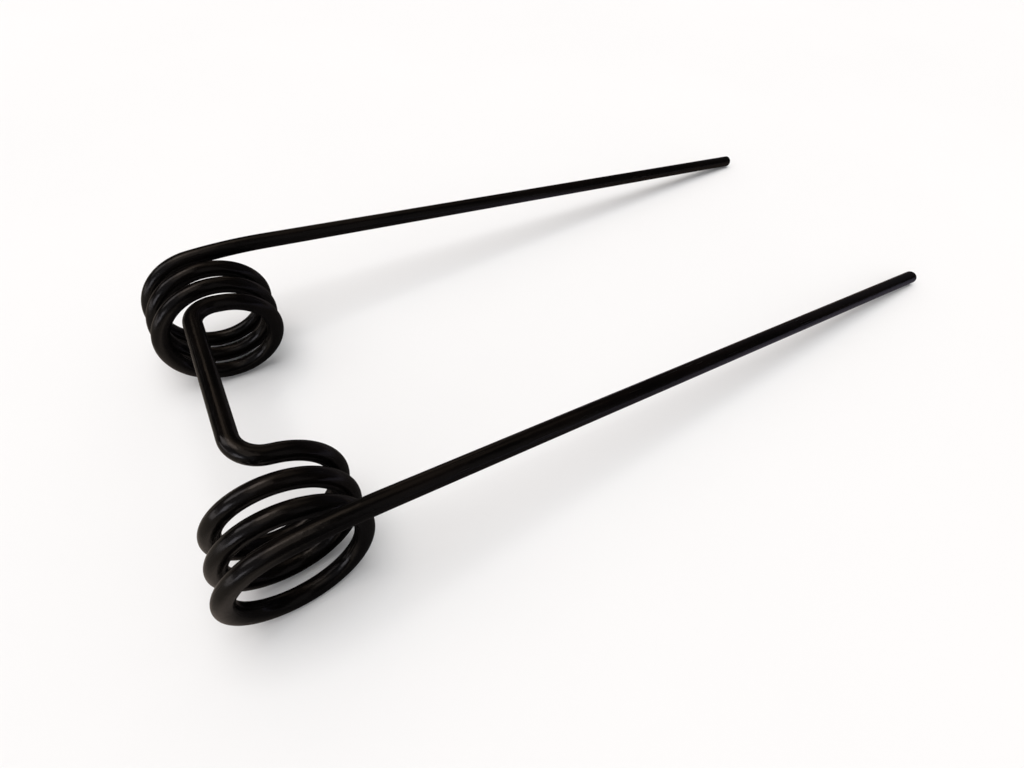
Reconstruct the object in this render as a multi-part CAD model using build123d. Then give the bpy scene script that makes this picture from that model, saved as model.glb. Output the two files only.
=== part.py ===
from build123d import *
import os
from math import asin, atan2, cos, degrees, hypot, pi, radians, sin

# A double spring tine, bent from one length of round spring steel wire. Between its two coils runs a
# straight bar that the machine clamps, and from the outer end of each coil runs a long straight arm.
# The two halves mirror each other about the plane Y = 0. The coil axes lie along Y and the arms along +X.
# The tine lies as it comes to rest, on both coils and on the tips of both arms, on the plane Z = 0.
# All sizes are in millimetres and degrees. A bend's radius is that of the wire's centre line.

# Wire
wire_diameter = 10.0
tip_rounding = 1.2        # the edge of each cut end, rounded by tumbling and paint

# Coils, each counted from the end of its leg
coil_turns = 3            # the coil stops short of this many whole turns by arm_angle
coil_bore = 53.0          # clear diameter inside the first turn
coil_gap = 6.5            # open space between one turn and the next
coil_growth = 0.5         # how much the coil's radius springs open with each turn

# Bar between the coils
bar_length = 83.6         # its straight part, where the clamp sits
bar_bend_inside = 10.5    # inside radius of the bend at each end of the bar
leg_length = 3.0          # straight wire between that bend and the coil

# Arms
arm_length = 464.0        # the straight part of each arm
arm_angle = 6.8           # between the arm and the leg, seen along the coil's axis
release_radius = 290.0    # the gentle bend in which the coil runs out into the arm
release_angle = 9.0

# Sizes that follow
wire_radius = wire_diameter / 2
coil_radius = coil_bore / 2 + wire_radius
coil_pitch = wire_diameter + coil_gap
coil_cone = atan2(coil_growth, coil_pitch)
bar_bend_radius = bar_bend_inside + wire_radius
quarter_turn = 90.0
helix_turns = coil_turns - (arm_angle + release_angle + quarter_turn) / 360
helix_end_radius = coil_radius + coil_growth * helix_turns

# The coil's own frame: its Z is the coil's axis, away from the bar, and the coil starts on its X
coil_axis = Vector(0, 0, 1)


def bend(start, heading, inward, radius, angle):
    """A flat arc that leaves start along heading and curves towards inward."""

    def point_after(turn):
        forward = heading * sin(radians(turn))
        sideways = inward * (1 - cos(radians(turn)))
        return start + (forward + sideways) * radius

    return ThreePointArc(start, point_after(angle / 2), point_after(angle))


def coil_inside(heading):
    """The direction from a point of the coil, where the wire runs along heading, to the inside of the coil."""
    return coil_axis.cross(heading).normalized()


def half_path():
    """The wire's centre line from the middle of the bar to one tip, piece by piece, in the coil's frame."""
    # A pitch along the cone's slope is a little longer than one along its axis
    coil = Helix(
        pitch=coil_pitch / cos(coil_cone),
        height=coil_pitch * helix_turns,
        radius=coil_radius,
        cone_angle=degrees(coil_cone),
    )

    # The leg runs straight into the coil, and the bar's bend turns the wire from the coil's axis into the leg
    along_leg = coil % 0
    leg_start = coil @ 0 - along_leg * leg_length
    leg = Line(leg_start, coil @ 0)
    square_to_bar = (along_leg - coil_axis * along_leg.dot(coil_axis)).normalized()
    bar_bend = bend(
        Vector(0, 0, 0),
        coil_axis,
        square_to_bar,
        bar_bend_radius,
        coil_axis.get_angle(along_leg),
    )
    bar_bend = bar_bend.moved(Location(leg_start - bar_bend @ 1))
    half_bar = Line(bar_bend @ 0 - coil_axis * bar_length / 2, bar_bend @ 0)

    # A quarter bend, flat in its own plane, takes the coil's slope back to nothing, so the arms are parallel
    level_out = bend(coil @ 1, coil % 1, coil_inside(coil % 1), helix_end_radius, quarter_turn)
    release = bend(
        level_out @ 1,
        level_out % 1,
        coil_inside(level_out % 1),
        release_radius,
        release_angle,
    )
    arm = Line(release @ 1, release @ 1 + (release % 1) * arm_length)
    return [half_bar, bar_bend, leg, coil, level_out, release, arm]


def lying_down(path):
    """Where the coil's frame goes, so that the coil and the arm's tip touch the floor, with the arm along +X.

    Seen along the coil's axis, the floor is the common tangent under two circles: the outside of the coil,
    which is lowest a quarter turn before the helix ends, and the rounded lower edge of the arm's cut end.
    """
    bar_middle = path[0] @ 0
    tip = path[-1] @ 1
    along_arm = path[-1] % 1
    coil_outside = helix_end_radius - coil_growth * quarter_turn / 360 + wire_radius
    tip_edge = tip - along_arm * tip_rounding + coil_inside(along_arm) * (wire_radius - tip_rounding)
    floor_slope = asin((coil_outside - tip_rounding) / hypot(tip_edge.X, tip_edge.Y))
    up = atan2(tip_edge.Y, tip_edge.X) - pi / 2 - floor_slope
    return Plane(
        origin=(0, -bar_middle.Z, coil_outside),
        x_dir=(-sin(up), 0, cos(up)),
        z_dir=(0, 1, 0),
    ).location


# One half is the wire's round section swept along its centre line, and the other half is its mirror image
path = half_path()
section = Plane(origin=path[0] @ 0, z_dir=path[0] % 0) * Circle(wire_radius)
half = sweep(section, path=Wire(path)).moved(lying_down(path))
tine = half + mirror(half, about=Plane.XZ)

# The only flat faces are the two cut ends
cut_ends = tine.faces().filter_by(GeomType.PLANE)
tine = fillet(cut_ends.edges(), tip_rounding)

# The origin is on the floor, under the middle of the tine
tine = tine.moved(Location((-tine.bounding_box().center().X, 0, 0)))
tine.label = "tine_wire"

os.makedirs("parts", exist_ok=True)
export_step(tine, "parts/tine_wire.step")

box = tine.bounding_box()
print("length, width and height", box.size)
print("lowest point", box.min.Z, "length of wire", 2 * sum(piece.length for piece in path))
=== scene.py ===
# %% [markdown]
# # A double spring tine in coated wire
#
# The tine is one round spring steel wire. From one cut end it runs along a straight arm, round
# three open turns of a coil and through a tight bend into the bar that the machine clamps, and
# then the same way out again to the other cut end. All of it is dipped in a thin, black,
# half-shiny coat.
#
# The lesson has three parts: Geometry Nodes that bend the wire from a handful of shop sizes, a
# coat made of shader nodes that knows which way the wire runs, and a small light studio. First the
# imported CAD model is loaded. It says where the part lies and how large it is, and nothing here
# changes that. Blender works in metres, so a length in millimetres is multiplied by `MM`.

from math import asin, atan2, cos, degrees, hypot, pi, radians, sin, tan, tau

import bpy
from mathutils import Matrix, Vector


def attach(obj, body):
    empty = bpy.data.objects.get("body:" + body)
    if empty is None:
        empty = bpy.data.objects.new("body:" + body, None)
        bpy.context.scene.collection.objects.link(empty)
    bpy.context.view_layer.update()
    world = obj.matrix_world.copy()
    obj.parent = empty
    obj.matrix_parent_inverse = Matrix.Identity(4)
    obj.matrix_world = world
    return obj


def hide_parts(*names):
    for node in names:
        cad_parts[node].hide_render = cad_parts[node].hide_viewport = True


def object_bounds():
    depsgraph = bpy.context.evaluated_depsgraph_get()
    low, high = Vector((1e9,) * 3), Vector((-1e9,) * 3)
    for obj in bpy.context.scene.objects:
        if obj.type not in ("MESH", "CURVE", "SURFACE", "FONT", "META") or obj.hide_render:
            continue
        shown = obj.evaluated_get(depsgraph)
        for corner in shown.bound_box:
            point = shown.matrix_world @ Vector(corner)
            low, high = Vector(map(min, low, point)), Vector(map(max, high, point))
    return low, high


MM = 0.001

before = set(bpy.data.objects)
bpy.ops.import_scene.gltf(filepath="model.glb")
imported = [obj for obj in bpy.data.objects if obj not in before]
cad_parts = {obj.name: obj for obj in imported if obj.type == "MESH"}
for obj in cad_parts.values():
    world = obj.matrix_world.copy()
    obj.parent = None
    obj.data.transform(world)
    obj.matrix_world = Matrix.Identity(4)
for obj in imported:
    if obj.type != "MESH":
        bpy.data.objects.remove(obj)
cad_low, cad_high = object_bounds()
print("CAD box in mm:", [round(side / MM, 2) for side in cad_high - cad_low])

# %% [markdown]
# ## Helpers for node trees
#
# A node tree is a list of nodes and links, and written out one by one they hide the idea. `add`
# makes a node and fills its inputs, each with a plain value or with the output of an earlier node.
# `new_group` makes a tree with named inputs and outputs, so that it can be used inside a larger
# one like a tool. `shared` passes inputs on under their own names, and each short helper in the
# second cell stands for one sum.


# %% Nodes and groups
def add(tree, kind, inputs=None, **settings):
    """Makes a node, applies its settings, then fills the inputs given by name or number."""
    node = tree.nodes.new(kind)
    for name, value in settings.items():
        setattr(node, name, value)
    for key, value in (inputs or {}).items():
        if isinstance(value, bpy.types.NodeSocket):
            tree.links.new(value, node.inputs[key])
        else:
            node.inputs[key].default_value = value
    return node


def new_group(name, inputs, outputs):
    """Makes an empty group and returns it with the values that it is given."""
    tree = bpy.data.node_groups.new(name, "GeometryNodeTree")
    for direction, sockets in (("INPUT", inputs), ("OUTPUT", outputs)):
        for label, kind in sockets.items():
            tree.interface.new_socket(label, in_out=direction, socket_type="NodeSocket" + kind)
    return tree, tree.nodes.new("NodeGroupInput").outputs


def use(tree, group, inputs):
    """Puts a group inside a tree and returns its outputs."""
    return add(tree, "GeometryNodeGroup", inputs, node_tree=group).outputs


def shared(given, *names):
    """The values that a group passes on under their own names."""
    return {name: given[name] for name in names}


print("helpers for nodes are ready")


# %% Sums with nodes
def number(tree, operation, a, b=0.0):
    return add(tree, "ShaderNodeMath", {0: a, 1: b}, operation=operation).outputs["Value"]


def vector(tree, operation, a, b=(0.0, 0.0, 0.0)):
    node = add(tree, "ShaderNodeVectorMath", {0: a, 1: b}, operation=operation)
    return node.outputs["Vector"]


def scaled(tree, a, factor):
    node = add(tree, "ShaderNodeVectorMath", {0: a, "Scale": factor}, operation="SCALE")
    return node.outputs["Vector"]


def dot(tree, a, b):
    node = add(tree, "ShaderNodeVectorMath", {0: a, 1: b}, operation="DOT_PRODUCT")
    return node.outputs["Value"]


def unit(tree, a):
    return vector(tree, "NORMALIZE", a)


def combined(tree, x, y, z):
    return add(tree, "ShaderNodeCombineXYZ", {0: x, 1: y, 2: z}).outputs["Vector"]


print("helpers for sums are ready")

# %% [markdown]
# ## Where the wire is after a bend
#
# On a bending machine the wire goes in along a heading and comes out turned towards one side, its
# inward side. After a turn `t` it has moved `sin t` radii forward and `1 - cos t` radii inward. A
# curve drawn by hand would have to be fitted at every joint. This one rule gives the points along
# a bend as well as the exact place and heading where the next piece starts.


# %% The rule of a bend
def make_turned():
    tree, given = new_group(
        "Place after a turn",
        {
            "Start": "Vector",
            "Heading": "Vector",
            "Inward": "Vector",
            "Radius": "Float",
            "Turn": "Float",
        },
        {"Place": "Vector", "New heading": "Vector"},
    )
    sine = number(tree, "SINE", given["Turn"])
    cosine = number(tree, "COSINE", given["Turn"])
    forward = scaled(tree, given["Heading"], sine)
    sideways = scaled(tree, given["Inward"], number(tree, "SUBTRACT", 1.0, cosine))
    moved = scaled(tree, vector(tree, "ADD", forward, sideways), given["Radius"])
    onward = scaled(tree, given["Heading"], cosine)
    inward = scaled(tree, given["Inward"], sine)
    new_heading = vector(tree, "ADD", onward, inward)
    place = vector(tree, "ADD", given["Start"], moved)
    add(tree, "NodeGroupOutput", {"Place": place, "New heading": new_heading})
    return tree


turned = make_turned()
print("nodes in the rule of a bend:", len(turned.nodes))

# %% [markdown]
# ## Straights and bends
#
# The arms, the bar and the short legs are straight wire, and bends join them. Blender's Arc node
# draws a bend too, but flat in its own frame, so each would have to be turned into place. Here
# both start as a line that is cut into even steps. The line's own factor, 0 at its start and 1 at
# its end, is the share of the piece that is done, and its points are set to where that share lies
# on the straight or on the bend. The step is an input, which keeps the whole wire evenly divided.


# %% A straight
def points_for(tree, length, step):
    """How many points cut a piece of this length into even steps."""
    steps = number(tree, "CEIL", number(tree, "DIVIDE", length, step))
    return number(tree, "ADD", steps, 1.0)


def line_through(tree, count, places):
    """A line of this many points, each set to its place on the wire."""
    line = add(tree, "GeometryNodeCurvePrimitiveLine", {"End": (1.0, 0.0, 0.0)})
    cut = add(
        tree, "GeometryNodeResampleCurve", {"Curve": line.outputs["Curve"], "Count": count}
    )
    placed = add(
        tree,
        "GeometryNodeSetPosition",
        {"Geometry": cut.outputs["Curve"], "Position": places},
    )
    return placed.outputs["Geometry"]


def make_straight():
    tree, given = new_group(
        "Straight",
        {"Start": "Vector", "Heading": "Vector", "Length": "Float", "Step": "Float"},
        {"Curve": "Geometry", "End": "Vector"},
    )
    share = add(tree, "GeometryNodeSplineParameter").outputs["Factor"]
    reach = scaled(tree, given["Heading"], given["Length"])
    places = vector(tree, "ADD", given["Start"], scaled(tree, reach, share))
    curve = line_through(tree, points_for(tree, given["Length"], given["Step"]), places)
    end = vector(tree, "ADD", given["Start"], reach)
    add(tree, "NodeGroupOutput", {"Curve": curve, "End": end})
    return tree


straight = make_straight()
print("nodes in a straight:", len(straight.nodes))


# %% A bend
def make_bend():
    tree, given = new_group(
        "Bend",
        {
            "Start": "Vector",
            "Heading": "Vector",
            "Inward": "Vector",
            "Radius": "Float",
            "Angle": "Float",
            "Step": "Float",
        },
        {"Curve": "Geometry", "End": "Vector", "End heading": "Vector"},
    )
    same = shared(given, "Start", "Heading", "Inward", "Radius")
    share = add(tree, "GeometryNodeSplineParameter").outputs["Factor"]
    so_far = use(tree, turned, {**same, "Turn": number(tree, "MULTIPLY", given["Angle"], share)})
    done = use(tree, turned, {**same, "Turn": given["Angle"]})
    length = number(tree, "MULTIPLY", given["Radius"], given["Angle"])
    curve = line_through(tree, points_for(tree, length, given["Step"]), so_far["Place"])
    result = {"Curve": curve, "End": done["Place"], "End heading": done["New heading"]}
    add(tree, "NodeGroupOutput", result)
    return tree


bend = make_bend()
print("nodes in a bend:", len(bend.nodes))

# %% [markdown]
# ## The coil
#
# The coil is the skill in this part. The wire is wound round a mandrel with the same gap after
# each turn, and because it is spring steel it opens a little with every turn it has made. A Screw
# modifier could wind it, but keeps one radius. Blender's Spiral draws a helix of constant pitch
# whose radius grows evenly, which is what the real coil has. The group also works out where the
# helix starts and ends and which way the wire points there, for the pieces on either side.


# %% The coil
def make_coil():
    tree, given = new_group(
        "Coil",
        dict.fromkeys(("Radius", "Pitch", "Growth", "Turns", "Step"), "Float"),
        {
            "Curve": "Geometry",
            "Start": "Vector",
            "Start heading": "Vector",
            "End": "Vector",
            "End heading": "Vector",
            "End radius": "Float",
        },
    )
    opened = number(tree, "MULTIPLY", given["Growth"], given["Turns"])
    end_radius = number(tree, "ADD", given["Radius"], opened)
    height = number(tree, "MULTIPLY", given["Pitch"], given["Turns"])
    round_once = number(tree, "MULTIPLY", given["Radius"], tau)
    spiral = add(
        tree,
        "GeometryNodeCurveSpiral",
        {
            "Resolution": number(tree, "DIVIDE", round_once, given["Step"]),
            "Rotations": given["Turns"],
            "Start Radius": given["Radius"],
            "End Radius": end_radius,
            "Height": height,
            "Reverse": True,
        },
    )

    # What each radian adds to the radius and to the height
    opening = number(tree, "DIVIDE", given["Growth"], tau)
    climb = number(tree, "DIVIDE", given["Pitch"], tau)
    start_heading = unit(tree, combined(tree, opening, given["Radius"], climb))

    # The place of the helix's end and the way the wire points there
    turn = number(tree, "MULTIPLY", given["Turns"], tau)
    cosine = number(tree, "COSINE", turn)
    sine = number(tree, "SINE", turn)
    outward = combined(tree, cosine, sine, 0.0)
    onward = combined(tree, number(tree, "MULTIPLY", sine, -1.0), cosine, 0.0)
    risen = combined(tree, 0.0, 0.0, height)
    end = vector(tree, "ADD", scaled(tree, outward, end_radius), risen)
    swept = vector(tree, "ADD", scaled(tree, outward, opening), scaled(tree, onward, end_radius))
    end_heading = unit(tree, vector(tree, "ADD", swept, combined(tree, 0.0, 0.0, climb)))
    add(
        tree,
        "NodeGroupOutput",
        {
            "Curve": spiral.outputs["Curve"],
            "Start": combined(tree, given["Radius"], 0.0, 0.0),
            "Start heading": start_heading,
            "End": end,
            "End heading": end_heading,
            "End radius": end_radius,
        },
    )
    return tree


coil = make_coil()
print("nodes in the coil:", len(coil.nodes))

# %% [markdown]
# ## From the coil to the bar
#
# On the inner side the wire leaves the coil in a short straight leg and turns through the tightest
# bend of the part into the bar, which lies along the coil's axis. Set by eye, this bend would
# leave a kink at one of its ends. But the leg's direction is known and the bar's too, so the angle
# between them is the bend's angle. The bend is measured once from nothing, and its start is then
# set back so that it ends at the leg.

# %% The bar's side
COIL_AXIS = (0.0, 0.0, 1.0)
SQUARE_TO_AXIS = (1.0, 1.0, 0.0)


def joined(tree, pieces):
    """Joins pieces in the order given."""
    node = add(tree, "GeometryNodeJoinGeometry")
    for piece in pieces:
        tree.links.new(piece, node.inputs["Geometry"])
    return node.outputs["Geometry"]


def make_bar_side():
    tree, given = new_group(
        "Bar side",
        {
            "Coil start": "Vector",
            "Coil heading": "Vector",
            "Leg length": "Float",
            "Bar bend radius": "Float",
            "Bar length": "Float",
            "Step": "Float",
        },
        {"Curve": "Geometry"},
    )
    heading = given["Coil heading"]
    back = scaled(tree, heading, number(tree, "MULTIPLY", given["Leg length"], -1.0))
    leg_start = vector(tree, "ADD", given["Coil start"], back)
    leg = use(
        tree,
        straight,
        {
            "Start": leg_start,
            "Heading": heading,
            "Length": given["Leg length"],
            "Step": given["Step"],
        },
    )

    inward = unit(tree, vector(tree, "MULTIPLY", heading, SQUARE_TO_AXIS))
    angle = number(tree, "ARCCOSINE", dot(tree, heading, COIL_AXIS))
    same = {"Heading": COIL_AXIS, "Inward": inward, "Radius": given["Bar bend radius"]}
    from_nothing = use(tree, turned, {**same, "Turn": angle})
    bar_end = vector(tree, "SUBTRACT", leg_start, from_nothing["Place"])
    tight = use(tree, bend, {**same, "Start": bar_end, "Angle": angle, "Step": given["Step"]})

    half_bar = number(tree, "MULTIPLY", given["Bar length"], 0.5)
    bar = use(
        tree,
        straight,
        {
            "Start": vector(tree, "SUBTRACT", bar_end, combined(tree, 0.0, 0.0, half_bar)),
            "Heading": COIL_AXIS,
            "Length": half_bar,
            "Step": given["Step"],
        },
    )
    curve = joined(tree, [leg["Curve"], tight["Curve"], bar["Curve"]])
    add(tree, "NodeGroupOutput", {"Curve": curve})
    return tree


bar_side = make_bar_side()
print("nodes in the bar's side:", len(bar_side.nodes))

# %% [markdown]
# ## From the coil to the tip
#
# At the outer end the wire still climbs along the coil's axis. A quarter bend, flat in its own
# plane, takes the climb away, so that both arms end up parallel. Then the wire runs out through a
# long gentle bend into the arm. A smooth spline through a few points would come close, but its
# arms would never be quite straight. The last points, where the cut end is rounded, sit closer
# together: seen from the side they follow a quarter of a circle.


# %% The arm's side
ROUNDING_POINTS = 7


def bend_about_coil(tree, start, heading, radius, angle, step):
    """A bend that keeps turning round the coil's axis, as the coil does."""
    inward = unit(tree, vector(tree, "CROSS_PRODUCT", COIL_AXIS, heading))
    begin = {"Start": start, "Heading": heading, "Inward": inward}
    return use(tree, bend, {**begin, "Radius": radius, "Angle": angle, "Step": step})


def rounded_steps(tree, start, heading, rounding):
    """Points over the rounded edge of the cut end, closer together towards the end."""
    share = add(tree, "GeometryNodeSplineParameter").outputs["Factor"]
    sine = number(tree, "SINE", number(tree, "MULTIPLY", share, pi / 2))
    reach = scaled(tree, heading, number(tree, "MULTIPLY", sine, rounding))
    return line_through(tree, ROUNDING_POINTS, vector(tree, "ADD", start, reach))


def make_arm_side():
    tree, given = new_group(
        "Arm side",
        {
            "Coil end": "Vector",
            "Coil heading": "Vector",
            "Coil end radius": "Float",
            "Release radius": "Float",
            "Release angle": "Float",
            "Arm length": "Float",
            "Tip rounding": "Float",
            "Step": "Float",
        },
        {"Curve": "Geometry"},
    )
    step = given["Step"]
    quarter = bend_about_coil(
        tree, given["Coil end"], given["Coil heading"], given["Coil end radius"], pi / 2, step
    )
    release = bend_about_coil(
        tree,
        quarter["End"],
        quarter["End heading"],
        given["Release radius"],
        given["Release angle"],
        step,
    )
    heading = release["End heading"]
    arm = use(
        tree,
        straight,
        {
            "Start": release["End"],
            "Heading": heading,
            "Length": number(tree, "SUBTRACT", given["Arm length"], given["Tip rounding"]),
            "Step": step,
        },
    )
    tip = rounded_steps(tree, arm["End"], heading, given["Tip rounding"])
    curve = joined(tree, [quarter["Curve"], release["Curve"], arm["Curve"], tip])
    add(tree, "NodeGroupOutput", {"Curve": curve})
    return tree


arm_side = make_arm_side()
print("nodes in the arm's side:", len(arm_side.nodes))

# %% [markdown]
# ## The whole centre line
#
# Bar side, coil and arm side make half of the wire. It is turned to lie on the floor, and the
# other half is its mirror image, which makes a left-handed coil out of a right-handed one. The
# mirroring is done while the wire is still a line, because a mirrored tube would be inside out.
# The pieces are turned into edges, their shared ends are merged, and what comes back is one curve
# from tip to tip.

# %% The shop sizes
SHOP_SIZES = (
    "Coil radius",
    "Coil pitch",
    "Coil growth",
    "Coil turns",
    "Leg length",
    "Bar bend radius",
    "Bar length",
    "Release radius",
    "Release angle",
    "Arm length",
    "Tip rounding",
    "Step",
)
LINE_INPUTS = dict.fromkeys(SHOP_SIZES, "Float")
LINE_INPUTS["Turn to the floor"] = "Rotation"
LINE_INPUTS["Move to the floor"] = "Vector"
print("sizes that the tree asks for:", len(SHOP_SIZES))


# %% The centre line
MIRRORED = (1.0, -1.0, 1.0)
MERGE_DISTANCE = 0.01 * MM


def make_centre_line():
    tree, given = new_group("Centre line", LINE_INPUTS, {"Curve": "Geometry"})
    helix = use(
        tree,
        coil,
        {
            "Radius": given["Coil radius"],
            "Pitch": given["Coil pitch"],
            "Growth": given["Coil growth"],
            "Turns": given["Coil turns"],
            "Step": given["Step"],
        },
    )
    inner = use(
        tree,
        bar_side,
        {
            "Coil start": helix["Start"],
            "Coil heading": helix["Start heading"],
            **shared(given, "Leg length", "Bar bend radius", "Bar length", "Step"),
        },
    )
    outer = use(
        tree,
        arm_side,
        {
            "Coil end": helix["End"],
            "Coil heading": helix["End heading"],
            "Coil end radius": helix["End radius"],
            **shared(given, "Release radius", "Release angle", "Arm length", "Tip rounding"),
            "Step": given["Step"],
        },
    )
    half = joined(tree, [inner["Curve"], helix["Curve"], outer["Curve"]])
    edges = add(tree, "GeometryNodeCurveToMesh", {"Curve": half})
    lying = add(
        tree,
        "GeometryNodeTransform",
        {
            "Geometry": edges.outputs["Mesh"],
            "Translation": given["Move to the floor"],
            "Rotation": given["Turn to the floor"],
        },
    ).outputs["Geometry"]
    other = add(tree, "GeometryNodeTransform", {"Geometry": lying, "Scale": MIRRORED})
    both = joined(tree, [other.outputs["Geometry"], lying])
    merged = add(
        tree, "GeometryNodeMergeByDistance", {"Geometry": both, "Distance": MERGE_DISTANCE}
    )
    one = add(tree, "GeometryNodeMeshToCurve", {"Mesh": merged.outputs["Geometry"]})
    add(tree, "NodeGroupOutput", {"Curve": one.outputs["Curve"]})
    return tree


centre_line = make_centre_line()
print("nodes in the centre line:", len(centre_line.nodes))

# %% [markdown]
# ## What each point of the line knows
#
# The coat will need to know how far along the wire a point is, how far it is from the nearer cut
# end, and how sharply the wire bends there and to which side. All three can be read off the curve
# before it becomes a tube. The bending is the change of the heading from two points before to two
# points after, divided by the distance between them.


# %% What each point knows
NEIGHBOUR = 2.0

# Points lie closer than this only over the rounded edges, where the wire is straight
SHORTEST_GAP = 1.0 * MM


def at_neighbour(tree, value, shift):
    """A value as it is at the point so many places further along the line."""
    index = add(tree, "GeometryNodeInputIndex").outputs["Index"]
    node = add(tree, "GeometryNodeFieldAtIndex", data_type="FLOAT_VECTOR")
    tree.links.new(value, node.inputs["Value"])
    tree.links.new(number(tree, "ADD", index, shift), node.inputs["Index"])
    return node.outputs["Value"]


def change_across(tree, value):
    """What a vector gains from two points before to two points after."""
    after = at_neighbour(tree, value, NEIGHBOUR)
    before = at_neighbour(tree, value, -NEIGHBOUR)
    return vector(tree, "SUBTRACT", after, before)


def line_facts(tree):
    """Length so far, length to the nearer tip, and the bending, at each point of the curve."""
    along = add(tree, "GeometryNodeSplineParameter").outputs["Length"]
    total = add(tree, "GeometryNodeSplineLength").outputs["Length"]
    left = number(tree, "SUBTRACT", total, along)
    to_tip = number(tree, "MINIMUM", along, left)

    heading = add(tree, "GeometryNodeInputTangent").outputs["Tangent"]
    here = add(tree, "GeometryNodeInputPosition").outputs["Position"]
    apart = change_across(tree, here)
    gap = add(tree, "ShaderNodeVectorMath", {0: apart}, operation="LENGTH").outputs["Value"]
    per_metre = number(tree, "DIVIDE", 1.0, number(tree, "MAXIMUM", gap, SHORTEST_GAP))
    return along, to_tip, scaled(tree, change_across(tree, heading), per_metre)


def captured(tree, geometry, values):
    """Keeps values with a geometry's points, and returns the geometry and the kept values."""
    node = add(tree, "GeometryNodeCaptureAttribute", {"Geometry": geometry})
    for name, value in values.items():
        node.capture_items.new("VECTOR" if value.type == "VECTOR" else "FLOAT", name)
        tree.links.new(value, node.inputs[name])
    return node.outputs["Geometry"], [node.outputs[name] for name in values]


print("facts of the line are ready")

# %% [markdown]
# ## The tube
#
# A circle is swept along the line. Over the last 1.2 mm before each cut end it shrinks as a
# quarter circle does, which rounds the edge that tumbling and the coat leave there. A bevel would
# need the edge to be found and selected. Here the scale of the swept circle does it in one sum.


# %% The size of the swept circle
def swept_scale(tree, to_tip, rounding, wire_radius):
    """1 along the wire, and less over the rounded ends."""
    short = number(tree, "MAXIMUM", number(tree, "SUBTRACT", rounding, to_tip), 0.0)
    leftover = number(
        tree,
        "SUBTRACT",
        number(tree, "MULTIPLY", rounding, rounding),
        number(tree, "MULTIPLY", short, short),
    )
    rise = number(tree, "SQRT", number(tree, "MAXIMUM", leftover, 0.0))
    inset = number(tree, "SUBTRACT", rounding, rise)
    return number(tree, "SUBTRACT", 1.0, number(tree, "DIVIDE", inset, wire_radius))


print("scale of the circle is ready")

# %% [markdown]
# Two values travel on with the tube for the coat. `laid_straight` is where a point of the skin
# would be if the wire were straightened out again, so that marks can run along the wire through
# every bend and no seam shows. `outer_bend` is 1 on the outside of the bar's bend, where bending
# tools rub, less on wider bends, and below 0 on their inside.


# %% Values for the coat
TUBE_CORNERS = 4


def coat_values(tree, along, section, bending, bar_bend_radius):
    """The place on the straightened wire, and how far the bend stretches the skin."""
    across = add(tree, "ShaderNodeSeparateXYZ", {"Vector": section}).outputs
    straightened = combined(tree, along, across["X"], across["Y"])
    normal = add(tree, "GeometryNodeInputNormal").outputs["Normal"]
    stretch = number(tree, "MULTIPLY", dot(tree, normal, bending), -1.0)
    return straightened, number(tree, "MULTIPLY", stretch, bar_bend_radius)


def stored(tree, geometry, name, kind, value):
    node = add(
        tree,
        "GeometryNodeStoreNamedAttribute",
        {"Geometry": geometry, "Name": name},
        data_type=kind,
        domain="POINT",
    )
    tree.links.new(value, node.inputs["Value"])
    return node.outputs["Geometry"]


def shaded(tree, geometry):
    """Smooth, except for the two cut faces, which have more corners than the tube's faces."""
    corners = add(tree, "GeometryNodeInputMeshFaceNeighbors").outputs["Vertex Count"]

    # Sockets 2 and 3 are the two whole numbers to compare
    is_cut = add(
        tree,
        "FunctionNodeCompare",
        {2: corners, 3: TUBE_CORNERS},
        data_type="INT",
        operation="GREATER_THAN",
    )
    smooth = add(
        tree, "GeometryNodeSetShadeSmooth", {"Geometry": geometry, "Shade Smooth": True}
    )
    flat = add(
        tree,
        "GeometryNodeSetShadeSmooth",
        {
            "Geometry": smooth.outputs["Geometry"],
            "Selection": is_cut.outputs["Result"],
            "Shade Smooth": False,
        },
    )
    return flat.outputs["Geometry"]


print("values for the coat are ready")

# %% [markdown]
# ## The whole wire
#
# Now the pieces meet. The facts are kept with the line's points before the sweep, and the swept
# circle keeps its own place, so that each point of the skin can read both. The two cut ends are
# filled. A tube from Blender's curve bevel would look the same, but none of these values would
# reach its skin.


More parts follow.
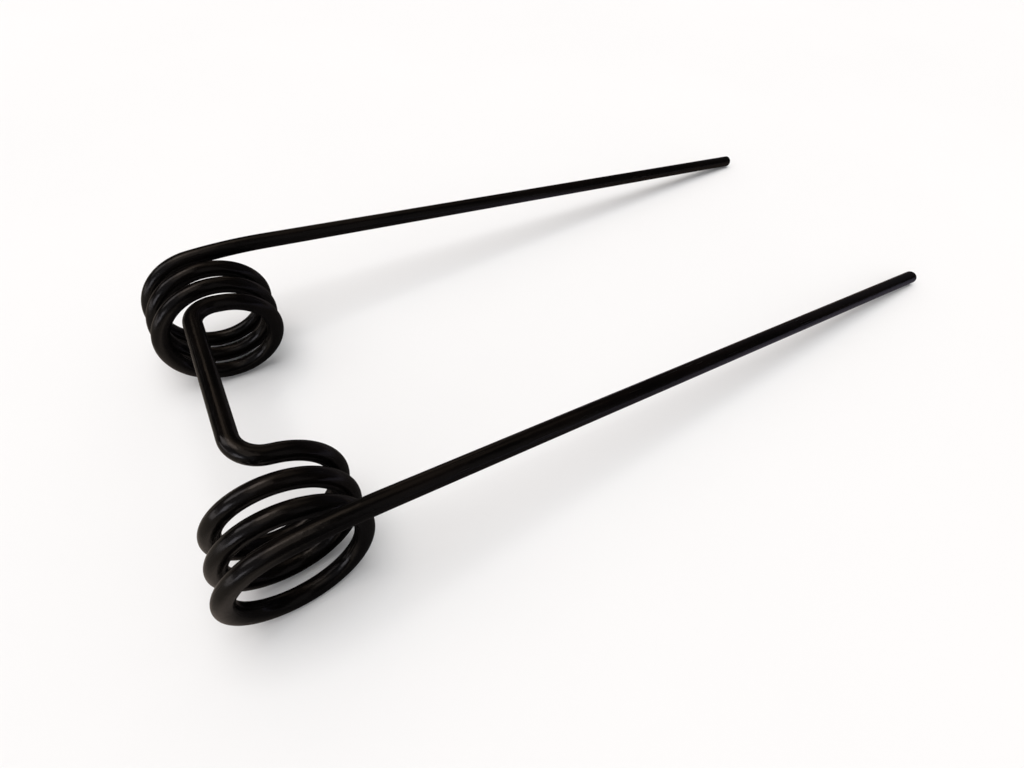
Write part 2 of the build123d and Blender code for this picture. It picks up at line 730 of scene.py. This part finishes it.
# %% The whole wire
def make_tine():
    tree, given = new_group(
        "Spring tine",
        {
            "Geometry": "Geometry",
            **LINE_INPUTS,
            "Wire radius": "Float",
            "Points around": "Int",
            "Coat": "Material",
        },
        {"Geometry": "Geometry"},
    )
    line = use(tree, centre_line, shared(given, *LINE_INPUTS))["Curve"]
    along, to_tip, bending = line_facts(tree)
    line, (along, to_tip, bending) = captured(
        tree, line, {"Along": along, "To tip": to_tip, "Bending": bending}
    )
    circle = add(
        tree,
        "GeometryNodeCurvePrimitiveCircle",
        {"Resolution": given["Points around"], "Radius": given["Wire radius"]},
    )
    here = add(tree, "GeometryNodeInputPosition").outputs["Position"]
    circle, (section,) = captured(tree, circle.outputs["Curve"], {"Section": here})
    tube = add(
        tree,
        "GeometryNodeCurveToMesh",
        {
            "Curve": line,
            "Profile Curve": circle,
            "Scale": swept_scale(tree, to_tip, given["Tip rounding"], given["Wire radius"]),
            "Fill Caps": True,
        },
    ).outputs["Mesh"]
    straightened, stretch = coat_values(
        tree, along, section, bending, given["Bar bend radius"]
    )
    tube = stored(tree, tube, "laid_straight", "FLOAT_VECTOR", straightened)
    tube = stored(tree, tube, "from_tip", "FLOAT", to_tip)
    tube = stored(tree, tube, "outer_bend", "FLOAT", stretch)
    real = add(tree, "GeometryNodeRealizeInstances", {"Geometry": shaded(tree, tube)})
    coated = add(tree, "GeometryNodeSetMaterial", {"Geometry": real.outputs["Geometry"]})
    tree.links.new(given["Coat"], coated.inputs["Material"])
    add(tree, "NodeGroupOutput", {"Geometry": coated.outputs["Geometry"]})
    tree.is_modifier = True
    return tree


tine_tree = make_tine()
print("nodes in the whole wire:", len(tine_tree.nodes))

# %% [markdown]
# ## The coat: marks that follow the wire
#
# The real finish is a thin black dip coat on drawn spring wire. One dark colour with some gloss
# would read as plastic. What makes it coated steel is what happens inside the highlights: long
# fine draw lines, a coat that is a little uneven over a few millimetres, and rubbed specks where
# tools and other tines touch it. Every pattern is a noise on `laid_straight`, with its spots given
# as long and wide in millimetres, so it runs with the wire and can be compared with a ruler.

# %% Marks along the wire
coat = bpy.data.materials.new("satin_black_coat")
coat.use_nodes = True
coat_tree = coat.node_tree
coat_tree.nodes.clear()


def point_value(name, output):
    return add(coat_tree, "ShaderNodeAttribute", attribute_name=name).outputs[output]


laid_straight = point_value("laid_straight", "Vector")


def marks(length, width, detail=2.0, roughness=0.5):
    """Noise whose spots are about this long along the wire and this wide across it, in mm."""
    per_metre = (1 / (length * MM), 1 / (width * MM), 1 / (width * MM))
    stretched = vector(coat_tree, "MULTIPLY", laid_straight, per_metre)
    noise = add(
        coat_tree,
        "ShaderNodeTexNoise",
        {"Vector": stretched, "Scale": 1.0, "Detail": detail, "Roughness": roughness},
    )
    return noise.outputs[0]


def spread(value, low, high, start=0.0, end=1.0):
    """Turns the part of a value between low and high into start to end, with soft ends."""
    node = add(
        coat_tree,
        "ShaderNodeMapRange",
        {"Value": value, 1: low, 2: high, 3: start, 4: end},
        interpolation_type="SMOOTHSTEP",
    )
    return node.outputs["Result"]


draw_lines = marks(length=60.0, width=0.7, detail=3.0, roughness=0.6)
streaks = marks(length=30.0, width=2.6)
unevenness = marks(length=4.0, width=2.0)
patches = marks(length=40.0, width=9.0, detail=3.0)
print("patterns on the wire: 4")

# %% [markdown]
# Rubbed specks are kept to where they belong. A mask is made of the outside of the tight bends and
# the last millimetres before the cut ends, and a fine noise breaks it into specks. The specks are
# greyer and duller than the coat, as steel that shows through half-worn paint.

# %% Rubbed specks
RUBBED_TIP = 4.0 * MM

specks = marks(length=1.6, width=1.0, detail=4.0, roughness=0.7)
on_bend = spread(point_value("outer_bend", "Fac"), 0.7, 0.98)
at_tip = spread(point_value("from_tip", "Fac"), 0.0, RUBBED_TIP, start=1.0, end=0.0)
where = number(coat_tree, "MAXIMUM", on_bend, at_tip)
rubbed = number(coat_tree, "MULTIPLY", spread(specks, 0.54, 0.68), where)
print("specks lie on the tight bends and at the cut ends")

# %% [markdown]
# ## The coat: black, gloss and bumps
#
# The black is a warm one that turns a little browner in long patches, where the coat is thin. The
# gloss varies between satin and half-shiny in streaks. Two bumps follow: the draw lines, very
# shallow, and the unevenness, which breaks long highlights up. Stronger colours would be easy, but
# on black it is the gloss that shows the form, so the colours stay weak and the gloss does the
# work.

# %% The coat's colour
WARM_BLACK = (0.0009, 0.0008, 0.0008, 1.0)
THIN_COAT = (0.0024, 0.0017, 0.0014, 1.0)
RUBBED_GREY = (0.045, 0.041, 0.039, 1.0)
RUBBED_SHARE = 0.45


def mixed_colour(tree, factor, first, second):
    """The first colour where the factor is 0, and the second where it is 1."""
    # The node's colours go in at sockets 6 and 7 and come out at socket 2
    node = add(
        tree, "ShaderNodeMix", {"Factor": factor, 6: first, 7: second}, data_type="RGBA"
    )
    return node.outputs[2]


black = mixed_colour(coat_tree, spread(patches, 0.35, 0.7), WARM_BLACK, THIN_COAT)
worn = number(coat_tree, "MULTIPLY", rubbed, RUBBED_SHARE)
colour = mixed_colour(coat_tree, worn, black, RUBBED_GREY)
print("colours: a warm black, a browner one and the grey of rubbed specks")

# %% The coat's gloss
RUBBED_DULLNESS = 0.12

streaked = spread(streaks, 0.3, 0.7, start=0.14, end=0.25)
lined = spread(draw_lines, 0.3, 0.7, start=-0.02, end=0.04)
dulled = number(coat_tree, "MULTIPLY", rubbed, RUBBED_DULLNESS)
satin = number(coat_tree, "ADD", number(coat_tree, "ADD", streaked, lined), dulled)
print("roughness from 0.12 to 0.29, and up to 0.41 on rubbed specks")

# %% The coat's bumps and shader
LINE_DEPTH = 0.12 * MM
UNEVEN_DEPTH = 0.3 * MM
BUMP_STRENGTH = 0.4

line_bumps = add(
    coat_tree,
    "ShaderNodeBump",
    {"Strength": BUMP_STRENGTH, "Distance": LINE_DEPTH, "Height": draw_lines},
)
coat_bumps = add(
    coat_tree,
    "ShaderNodeBump",
    {
        "Strength": BUMP_STRENGTH,
        "Distance": UNEVEN_DEPTH,
        "Height": unevenness,
        "Normal": line_bumps.outputs["Normal"],
    },
)
shader = add(
    coat_tree,
    "ShaderNodeBsdfPrincipled",
    {
        "Base Color": colour,
        "Roughness": satin,
        "Normal": coat_bumps.outputs["Normal"],
        "IOR": 1.5,
    },
)
add(coat_tree, "ShaderNodeOutputMaterial", {"Surface": shader.outputs["BSDF"]})
print("nodes in the coat:", len(coat_tree.nodes))

# %% [markdown]
# ## The sizes in the maker's terms
#
# These are the numbers that a wire bender sets on the machine. The radius of a bend is measured to
# the wire's centre line, and the helix stops short of three turns because the quarter bend, the
# gentle bend and the arm's own angle finish the last one.

# %% The sizes
WIRE_DIAMETER = 10.0 * MM
TIP_ROUNDING = 1.2 * MM
COIL_TURNS = 3
COIL_BORE = 53.0 * MM
COIL_GAP = 6.5 * MM
COIL_GROWTH = 0.5 * MM
BAR_LENGTH = 83.6 * MM
BAR_BEND_INSIDE = 10.5 * MM
LEG_LENGTH = 3.0 * MM
ARM_LENGTH = 464.0 * MM
ARM_ANGLE = radians(6.8)
RELEASE_RADIUS = 290.0 * MM
RELEASE_ANGLE = radians(9.0)
STEP = 1.5 * MM
POINTS_AROUND = 40

wire_radius = WIRE_DIAMETER / 2
coil_radius = COIL_BORE / 2 + wire_radius
coil_pitch = WIRE_DIAMETER + COIL_GAP
helix_turns = COIL_TURNS - (ARM_ANGLE + RELEASE_ANGLE + pi / 2) / tau
helix_end_radius = coil_radius + COIL_GROWTH * helix_turns
bar_bend_radius = BAR_BEND_INSIDE + wire_radius
print("turns of the helix:", round(helix_turns, 4))
print("radius at its end in mm:", round(helix_end_radius / MM, 3))

# %% [markdown]
# ## How the tine lies on the floor
#
# Laid down, the tine rests on the outside of both coils and on the lower edges of both cut ends.
# Seen along the coils' axis, the floor is the common tangent under two circles, so no trial and
# error is needed. Complex numbers make the walk from the coil to the tip short: a heading times
# `1j` is turned a quarter to the left.


# %% Lying on the floor
def lying_down():
    """The turn that lays the coil's own frame on the floor, and the height of the coil's axis."""
    # The end of the helix, and what one more radian would add to the wire's place
    angle = tau * helix_turns
    outward = complex(cos(angle), sin(angle))
    swept = outward * COIL_GROWTH / tau + outward * 1j * helix_end_radius
    slanted = hypot(abs(swept), coil_pitch / tau)

    # After the quarter bend the wire points to that bend's inward side
    heading = 1j * swept / abs(swept)
    at = outward * helix_end_radius + (swept / slanted + heading) * helix_end_radius

    # The gentle bend and the arm
    at += heading * (sin(RELEASE_ANGLE) + 1j * (1 - cos(RELEASE_ANGLE))) * RELEASE_RADIUS
    heading *= complex(cos(RELEASE_ANGLE), sin(RELEASE_ANGLE))
    tip = at + heading * ARM_LENGTH

    # The floor touches the coil a quarter turn before the helix ends, and the tip's rounded edge
    outside = helix_end_radius - COIL_GROWTH / 4 + wire_radius
    edge = tip - heading * TIP_ROUNDING + 1j * heading * (wire_radius - TIP_ROUNDING)
    slope = asin((outside - TIP_ROUNDING) / abs(edge))
    up = atan2(edge.imag, edge.real) - pi / 2 - slope

    # The coil's own axis comes to lie along Y
    rows = ((-sin(up), cos(up), 0.0), (0.0, 0.0, 1.0), (cos(up), sin(up), 0.0))
    return Matrix(rows).to_euler(), outside


floor_turn, coil_height = lying_down()

# From the coil's first point, along the coil's axis, to the middle of the bar
start_climb = atan2(coil_pitch / tau, hypot(coil_radius, COIL_GROWTH / tau))
to_bar_middle = (
    LEG_LENGTH * sin(start_climb) + bar_bend_radius * cos(start_climb) + BAR_LENGTH / 2
)
print("turned by", [round(degrees(angle), 2) for angle in floor_turn], "degrees")

# %% [markdown]
# ## From nodes to a plain mesh
#
# The tree sits as a modifier on an empty mesh. Its inputs are set by their identifiers, which stay
# unique even where two inputs share a name. It is evaluated once, and the result is copied to a
# plain mesh. The empty mesh and its modifier then go, because the part travels on without them.
# Last, the wire is shifted along X to the middle of the CAD model's box.

# %% What goes into the tree
inputs = {
    "Coil radius": coil_radius,
    "Coil pitch": coil_pitch,
    "Coil growth": COIL_GROWTH,
    "Coil turns": helix_turns,
    "Leg length": LEG_LENGTH,
    "Bar bend radius": bar_bend_radius,
    "Bar length": BAR_LENGTH,
    "Release radius": RELEASE_RADIUS,
    "Release angle": RELEASE_ANGLE,
    "Arm length": ARM_LENGTH,
    "Tip rounding": TIP_ROUNDING,
    "Step": STEP,
    "Wire radius": wire_radius,
    "Points around": POINTS_AROUND,
    "Turn to the floor": floor_turn,
    "Move to the floor": (0.0, to_bar_middle, coil_height),
    "Coat": coat,
}
print("inputs to set:", len(inputs))


# %% The wire as a mesh
def in_scene(name, data):
    """Makes an object of its data and puts it in the scene."""
    made = bpy.data.objects.new(name, data)
    bpy.context.scene.collection.objects.link(made)
    return made


source = in_scene("wire_source", bpy.data.meshes.new("wire_source"))
modifier = source.modifiers.new("Spring tine", "NODES")
modifier.node_group = tine_tree
for item in tine_tree.interface.items_tree:
    if item.in_out == "INPUT" and item.name in inputs:
        modifier[item.identifier] = inputs[item.name]
ready = source.evaluated_get(bpy.context.evaluated_depsgraph_get())
mesh = bpy.data.meshes.new_from_object(ready)
bpy.data.objects.remove(source)
ends = [vertex.co.x for vertex in mesh.vertices]
shift = (cad_low.x + cad_high.x - min(ends) - max(ends)) / 2
mesh.transform(Matrix.Translation((shift, 0.0, 0.0)))
mesh.name = "coated_wire"
wire = in_scene("coated_wire", mesh)
print("faces of the wire:", len(mesh.polygons))

# %% [markdown]
# ## A flat map of the skin
#
# When the coat is baked to pictures for other programs, the wire's skin has to be laid out flat.
# Blender's own unwrapping cuts a long tube into many crooked scraps. This tube has a natural
# layout: slit along its length and cut into nine equal strips that lie one above the other, with
# the two cut faces beside each other in a tenth row. That fills the picture and keeps the draw
# lines straight. No part of the map is mirrored, so that baked bumps don't turn into dents.

# %% The flat map
STRIPS = 9
ROW = 1 / (STRIPS + 1)
MARGIN = 0.006
SIDE_MARGIN = 2 * MARGIN


def strip_places(places, strip_length):
    """Where the corners of one face of the tube go on the map."""
    middle = sum(place.x for place in places) / len(places)
    row = min(int(middle / strip_length), STRIPS - 1)
    around = [atan2(place.z, place.y) / tau % 1.0 for place in places]

    # A face that crosses the slit stays whole and reaches a little past the strip's edge
    if max(around) - min(around) > 0.5:
        around = [share + 1 if share < 0.5 else share for share in around]
    room = 1 - 2 * SIDE_MARGIN
    return [
        (
            SIDE_MARGIN + room * (place.x / strip_length - row),
            row * ROW + MARGIN + (ROW - 2 * MARGIN) * (1 - share),
        )
        for place, share in zip(places, around)
    ]


def cut_places(places, first):
    """Where the corners of a cut face go. The two face opposite ways, so one is turned over."""
    size = (ROW / 2 - MARGIN) / wire_radius
    x = ROW if first else 3 * ROW
    y = 1 - ROW / 2
    side = -1 if first else 1
    return [(x + side * place.y * size, y + place.z * size) for place in places]


def lay_flat(mesh):
    """Gives each face its place on the map, and returns the length of the wire."""
    straight_places = [item.vector for item in mesh.attributes["laid_straight"].data]
    length = max(place.x for place in straight_places)
    flat = mesh.uv_layers.new(name="OFBake")
    for face in mesh.polygons:
        places = [straight_places[corner] for corner in face.vertices]
        if len(places) > TUBE_CORNERS:
            laid = cut_places(places, places[0].x < length / 2)
        else:
            laid = strip_places(places, length / STRIPS)
        for loop, place in zip(face.loop_indices, laid):
            flat.uv[loop].vector = place
    return length


wire_length = lay_flat(mesh)
print("length of the wire in mm:", round(wire_length / MM, 1))

# %% [markdown]
# ## Hand the wire to the frame
#
# The tine is one rigid piece, so the whole wire rides on the only body. It hides the CAD model's
# plain wire and stands in for it. Keeping the plain one and only giving it a material would do for
# the form, but its mesh doesn't know which way the wire runs.

# %% Hand the wire to the frame
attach(wire, "root")
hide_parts("tine_wire")
print("the wire stands for the CAD model's wire")

# %% [markdown]
# ## The floor
#
# The tine lies on a plain pale surface, far larger than the picture. Its white has a very slight,
# large mottling and no shine, so that it looks equally bright from every side and no line shows
# where it ends. A black wire mirrors the floor in its underside, and a white floor would turn it
# grey there. In real life a dark cloth would be laid under it. Here, rays that come from a gloss
# see a darker floor, as of a grey workshop bench, and all other rays see the pale one. The
# bench's shades are painted light and shade for the wire to mirror: painted shade under the
# coils, and painted light to their left, as from windows on that side, and under the arms,
# with a brown patch between the tips.


# %% The bench that the wire mirrors
BENCH_END = 0.4
# Painted light and shade along X for the wire to mirror: pale to the coils' left and under the
# arms, dark under the coils where their shade falls.
BENCH_LIGHT_AND_SHADE = (
    (0.05, (0.16, 0.14, 0.12, 1.0)),
    (0.13, (0.29, 0.25, 0.22, 1.0)),
    (0.2, (0.05, 0.045, 0.045, 1.0)),
    (0.42, (0.06, 0.053, 0.05, 1.0)),
    (0.62, (0.19, 0.174, 0.215, 1.0)),
    (1.0, (0.15, 0.146, 0.2, 1.0)),
)
BROWN_PATCH = (0.085, 0.068, 0.06, 1.0)


def ranged(tree, value, low, high):
    """0 below the low value, 1 above the high one, and even in between."""
    return add(tree, "ShaderNodeMapRange", {"Value": value, 1: low, 2: high}).outputs["Result"]


def mirrored_bench(tree, here):
    """A dull surface with the painted light and shade that the wire's gloss sees."""
    split = add(tree, "ShaderNodeSeparateXYZ", {"Vector": here}).outputs
    across = ranged(tree, split["X"], -BENCH_END, BENCH_END)
    ramp = add(tree, "ShaderNodeValToRGB", {"Fac": across})

    # A new ramp has two stops, and one has to stay
    stops = ramp.color_ramp.elements
    stops.remove(stops[1])
    first, *others = BENCH_LIGHT_AND_SHADE
    stops[0].position, stops[0].color = first
    for position, shade in others:
        stops.new(position).color = shade

    # The patch starts past the middle of the tine and past its near arm
    past_middle = ranged(tree, split["X"], 0.05, 0.13)
    past_near_arm = ranged(tree, split["Y"], -0.13, -0.08)
    patch = number(tree, "MULTIPLY", past_middle, past_near_arm)
    shades = mixed_colour(tree, patch, ramp.outputs["Color"], BROWN_PATCH)
    return add(tree, "ShaderNodeBsdfDiffuse", {"Color": shades}).outputs["BSDF"]


print("shades of the mirrored bench:", len(BENCH_LIGHT_AND_SHADE), "and a brown patch")


# %% The floor's material
FLOOR_GREY = (0.815, 0.815, 0.815, 1.0)
FLOOR_PALER = (0.845, 0.845, 0.845, 1.0)


def mixed_shader(tree, factor, first, second):
    """The first shader where the factor is 0, and the second where it is 1."""
    return add(tree, "ShaderNodeMixShader", {0: factor, 1: first, 2: second}).outputs["Shader"]


def make_pale_floor():
    material = bpy.data.materials.new("pale_floor")
    material.use_nodes = True
    tree = material.node_tree
    here = add(tree, "ShaderNodeTexCoord").outputs["Object"]
    mottling = add(tree, "ShaderNodeTexNoise", {"Vector": here, "Scale": 3.0, "Detail": 3.0})
    pale = mixed_colour(tree, mottling.outputs[0], FLOOR_GREY, FLOOR_PALER)
    shader = tree.nodes["Principled BSDF"]
    tree.links.new(pale, shader.inputs["Base Color"])
    shader.inputs["Roughness"].default_value = 0.9
    shader.inputs["Specular IOR Level"].default_value = 0.0
    off_gloss = add(tree, "ShaderNodeLightPath").outputs["Is Glossy Ray"]
    seen = mixed_shader(tree, off_gloss, shader.outputs["BSDF"], mirrored_bench(tree, here))
    tree.links.new(seen, tree.nodes["Material Output"].inputs["Surface"])
    return material


pale_floor = make_pale_floor()
print("floor material:", pale_floor.name)

# %% The floor
FAR = 6.0
floor_mesh = bpy.data.meshes.new("floor")
floor_mesh.from_pydata(
    [(-FAR, -FAR, 0.0), (FAR, -FAR, 0.0), (FAR, FAR, 0.0), (-FAR, FAR, 0.0)],
    [],
    [(0, 1, 2, 3)],
)
floor_mesh.materials.append(pale_floor)
floor = in_scene("floor", floor_mesh)
print("floor is", round(2 * FAR), "metres square")

# %% [markdown]
# ## Light
#
# Shine on a black wire is a picture of what stands round it. One soft box would give one plain
# line along each turn, but real coils in a workshop show several soft ones. So the lamps are set
# like windows: by the direction in which the tine sees them, how many degrees wide and high they
# look, and how bright they are. A warm one and a paler one stand high to the left, a cool one and
# a sill low to the left, and a brown one and a sill behind. A ceiling and four walls are lamps
# too, large and dim: they give the straight arms their soft lines. All stand far away, so that
# they light the floor evenly. A lamp's power is its brightness times its area times pi.

# %% Windows
WARM = (1.0, 0.84, 0.73)
NEUTRAL = (1.0, 0.92, 0.91)
COOL = (0.95, 0.93, 1.0)
VIOLET = (0.8, 0.77, 1.0)
BROWN = (1.0, 0.78, 0.6)
LAMP_DISTANCE = 100.0


def window(name, azimuth, elevation, width, height, brightness, colour):
    """A far lamp that looks so many degrees wide and high from the tine."""
    data = bpy.data.lights.new(name, "AREA")
    data.shape = "RECTANGLE"
    data.size = 2 * LAMP_DISTANCE * tan(radians(width / 2))
    data.size_y = 2 * LAMP_DISTANCE * tan(radians(height / 2))
    data.energy = brightness * data.size * data.size_y * pi
    data.color = colour
    flat = cos(radians(elevation))
    away = Vector(
        (cos(radians(azimuth)) * flat, sin(radians(azimuth)) * flat, sin(radians(elevation)))
    )
    made = in_scene(name, data)
    made.location = away * LAMP_DISTANCE
    made.rotation_euler = away.to_track_quat("Z", "Y").to_euler()


# Azimuth and elevation, then width and height, in degrees
window("roof_window", 135.0, 66.0, 24.0, 18.0, 1.35, WARM)
window("window_left", 150.0, 39.0, 20.0, 28.0, 1.1, NEUTRAL)
window("window_left_low", 205.0, 17.0, 19.0, 17.0, 1.45, COOL)
window("sill_left", 176.0, 6.0, 46.0, 10.0, 0.9, NEUTRAL)
window("window_behind", 88.0, 55.0, 18.0, 30.0, 0.4, BROWN)
window("wall_behind", 45.0, 60.0, 32.0, 36.0, 0.14, BROWN)
window("sill_behind", 70.0, 14.0, 16.0, 24.0, 0.2, BROWN)
window("wall_front", 294.0, 28.0, 30.0, 56.0, 0.09, NEUTRAL)
window("wall_right", 13.0, 14.0, 54.0, 28.0, 0.035, VIOLET)
window("ceiling", 180.0, 74.0, 66.0, 34.0, 0.36, WARM)
window("wall_left", 205.0, 35.0, 70.0, 44.0, 0.1, COOL)
print("windows, walls and ceiling:", len(bpy.data.lights))

# %% [markdown]
# The floor gets almost half of its light from straight above, as under a large soft box. It makes
# the shade under the coils and where the tips touch down, which shows that the tine lies on the
# floor. A large lamp two metres up would leave a bright patch with an edge. A sun lamp that looks
# 45 degrees wide lights the whole floor evenly. It would also draw a bright line along the top of
# the wire, so it is hidden from rays that come off a gloss.

# %% Soft light from above
SOFT_BRIGHTNESS = 0.52

soft_data = bpy.data.lights.new("soft_top", "SUN")
soft_data.angle = radians(45)
soft_data.energy = SOFT_BRIGHTNESS * pi
soft_top = in_scene("soft_top", soft_data)
soft_top.visible_glossy = False
print("light from above looks", round(degrees(soft_data.angle)), "degrees wide")

# %% [markdown]
# The room round the windows does three different jobs, so the world's shader asks each ray what it
# is. A ray from the camera sees a pale backdrop, a ray that lights the floor sees bright soft
# daylight from all sides, and a ray that comes from the wire's gloss sees a nearly dark room,
# which keeps it black.


# %% The room
def make_room():
    world = bpy.data.worlds.new("room")
    world.use_nodes = True
    tree = world.node_tree
    tree.nodes.clear()

    def glow(colour, strength):
        node = add(tree, "ShaderNodeBackground", {"Color": colour, "Strength": strength})
        return node.outputs["Background"]

    ray = add(tree, "ShaderNodeLightPath").outputs
    daylight = glow((0.97, 0.985, 1.0, 1.0), 0.48)
    dark_room = glow((1.0, 0.8, 0.75, 1.0), 0.017)
    backdrop = glow((1.0, 0.995, 0.99, 1.0), 0.985)
    lighting = mixed_shader(tree, ray["Is Glossy Ray"], daylight, dark_room)
    everything = mixed_shader(tree, ray["Is Camera Ray"], lighting, backdrop)
    add(tree, "ShaderNodeOutputWorld", {"Surface": everything})
    return world


bpy.context.scene.world = make_room()
bpy.context.scene.view_settings.view_transform = "Standard"
print("room:", bpy.context.scene.world.name)

# %% [markdown]
# ## Camera
#
# The tine is seen from close by, through a wide lens, from above and behind the near coil. That is
# why the near coil looks so much larger than the far one. The lens is shifted a little, as in a
# picture that was trimmed at the top.

# %% Camera
lens = bpy.data.cameras.new("camera")
lens.sensor_width = 36.0
lens.lens = 19.671
lens.shift_y = -0.05568
lens.clip_start = 0.01
camera = in_scene("camera", lens)
camera.location = (-0.21048, -0.22754, 0.30288)
camera.rotation_euler = (radians(43.5215), radians(-2.3787), radians(-31.2515))
bpy.context.scene.camera = camera
print("camera at", [round(value, 4) for value in camera.location])
